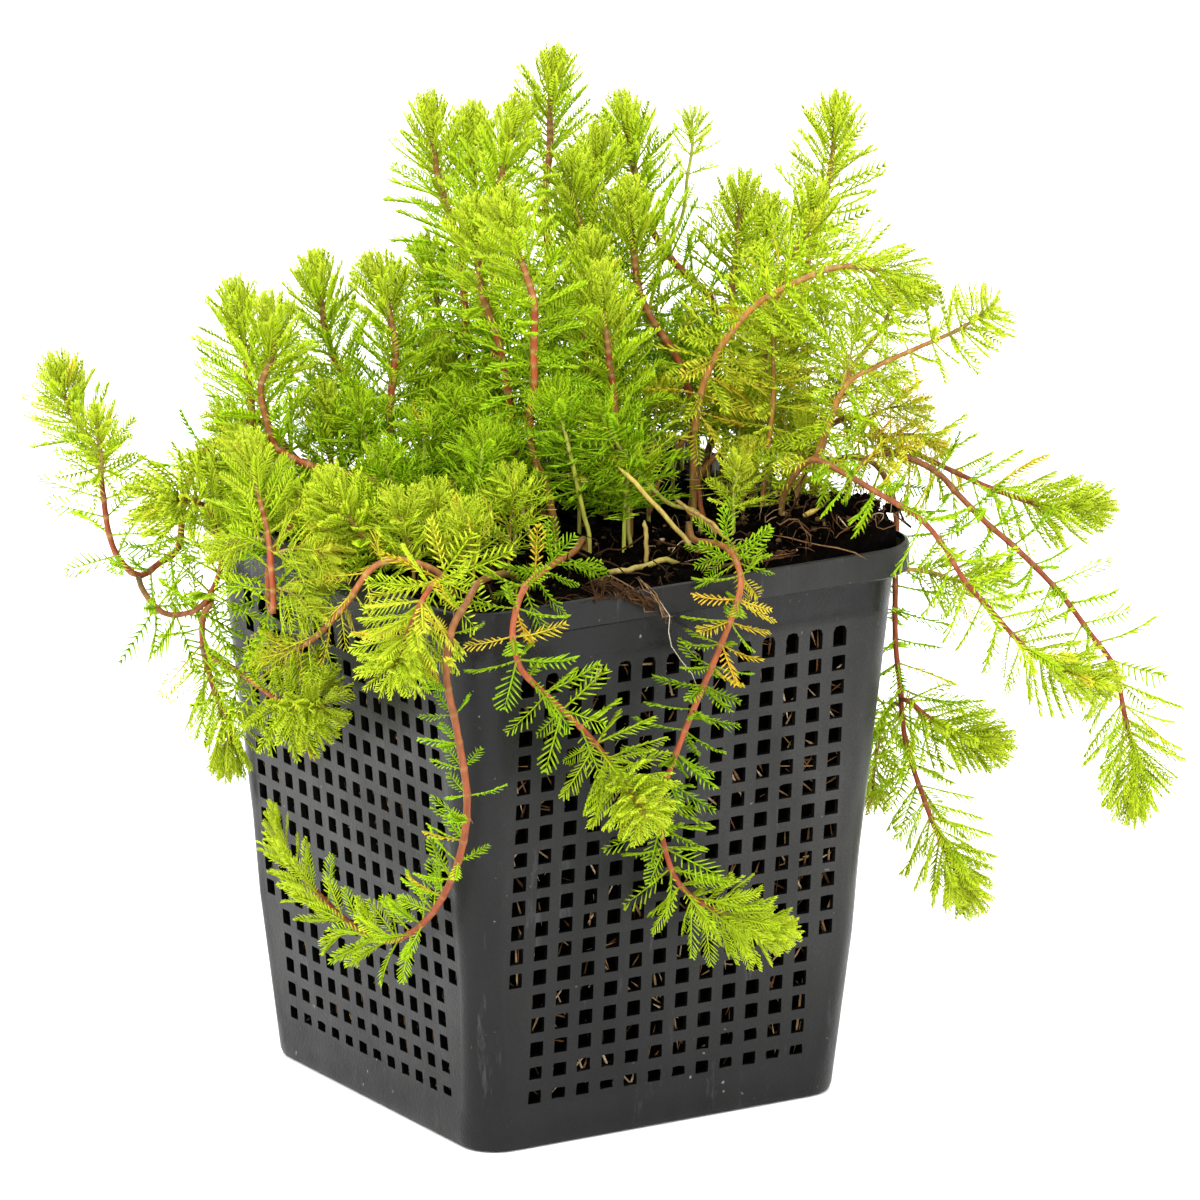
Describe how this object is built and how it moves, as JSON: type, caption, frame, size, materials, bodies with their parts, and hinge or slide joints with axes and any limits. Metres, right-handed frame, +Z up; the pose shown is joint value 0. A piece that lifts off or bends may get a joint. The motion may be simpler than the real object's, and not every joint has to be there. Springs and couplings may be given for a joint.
{
  "type": "parrots feather plant in a pond basket",
  "caption": "Clump of parrot's feather with red stems and whorls of feathery green leaves, standing in soil in a square mesh pond basket and trailing over its rim.",
  "frame": {"origin": "middle of the flat underside of the basket", "axes": "+Z up out of the basket; +X and +Y square to the basket's flat sides; the long trailing shoots lie towards +X and -Y, the curled one on the -X side"},
  "size_m": [0.2008, 0.1645, 0.2039],
  "materials": {
    "basket_plastic": "satin black moulded polypropylene, dusty, with fine scuffs",
    "peat_soil": "damp dark peat with fibres and root ends",
    "green_shoot": "thin soft lime green leaflets on a satin red-brown stem",
    "yellowing_shoot": "yellowing leaflets on an orange-brown stem"
  },
  "bodies": {
    "root": {"basket": "basket_plastic", "soil": "peat_soil", "left_arching_shoot": "green_shoot", "left_side_sprig": "green_shoot", "left_loop_shoot": "green_shoot", "left_hanging_shoot": "green_shoot", "left_tuft_shoot": "green_shoot", "left_curl_shoot": "green_shoot", "left_corner_shoot": "green_shoot", "left_red_shoot": "green_shoot", "left_upright_shoot_1": "green_shoot", "left_upright_shoot_2": "green_shoot", "left_upright_shoot_3": "green_shoot", "left_short_shoot_1": "green_shoot", "left_short_shoot_2": "green_shoot", "left_short_shoot_3": "green_shoot", "left_short_shoot_4": "green_shoot", "left_short_shoot_5": "green_shoot", "yellow_drooping_shoot": "yellowing_shoot", "corner_drooping_shoot": "green_shoot", "left_curled_trailer": "green_shoot", "middle_shoot_1": "green_shoot", "middle_shoot_2": "green_shoot", "middle_shoot_3": "green_shoot", "middle_shoot_4": "green_shoot", "middle_red_shoot": "green_shoot", "tallest_shoot": "green_shoot", "middle_shoot_5": "green_shoot", "middle_shoot_6": "green_shoot", "middle_shoot_7": "green_shoot", "middle_shoot_8": "green_shoot", "middle_shoot_9": "green_shoot", "middle_shoot_10": "green_shoot", "pale_thin_shoot": "green_shoot", "front_short_shoot_1": "green_shoot", "front_short_shoot_2": "green_shoot", "front_sprig": "green_shoot", "right_upright_shoot_1": "green_shoot", "right_upright_shoot_2": "green_shoot", "right_upright_shoot_3": "green_shoot", "right_upright_shoot_4": "green_shoot", "right_arching_shoot": "green_shoot", "right_short_shoot_1": "green_shoot", "right_short_shoot_2": "green_shoot", "right_open_shoot": "green_shoot", "right_trailer_1": "green_shoot", "right_trailer_2": "green_shoot", "right_trailer_3": "green_shoot", "right_hanging_shoot": "green_shoot", "right_back_sprig": "green_shoot", "right_side_shoot": "green_shoot", "right_low_sprig": "green_shoot", "front_trailer_1": "green_shoot", "front_trailer_2": "green_shoot", "back_trailer_1": "green_shoot", "back_trailer_2": "green_shoot"}
  },
  "joints": []
}
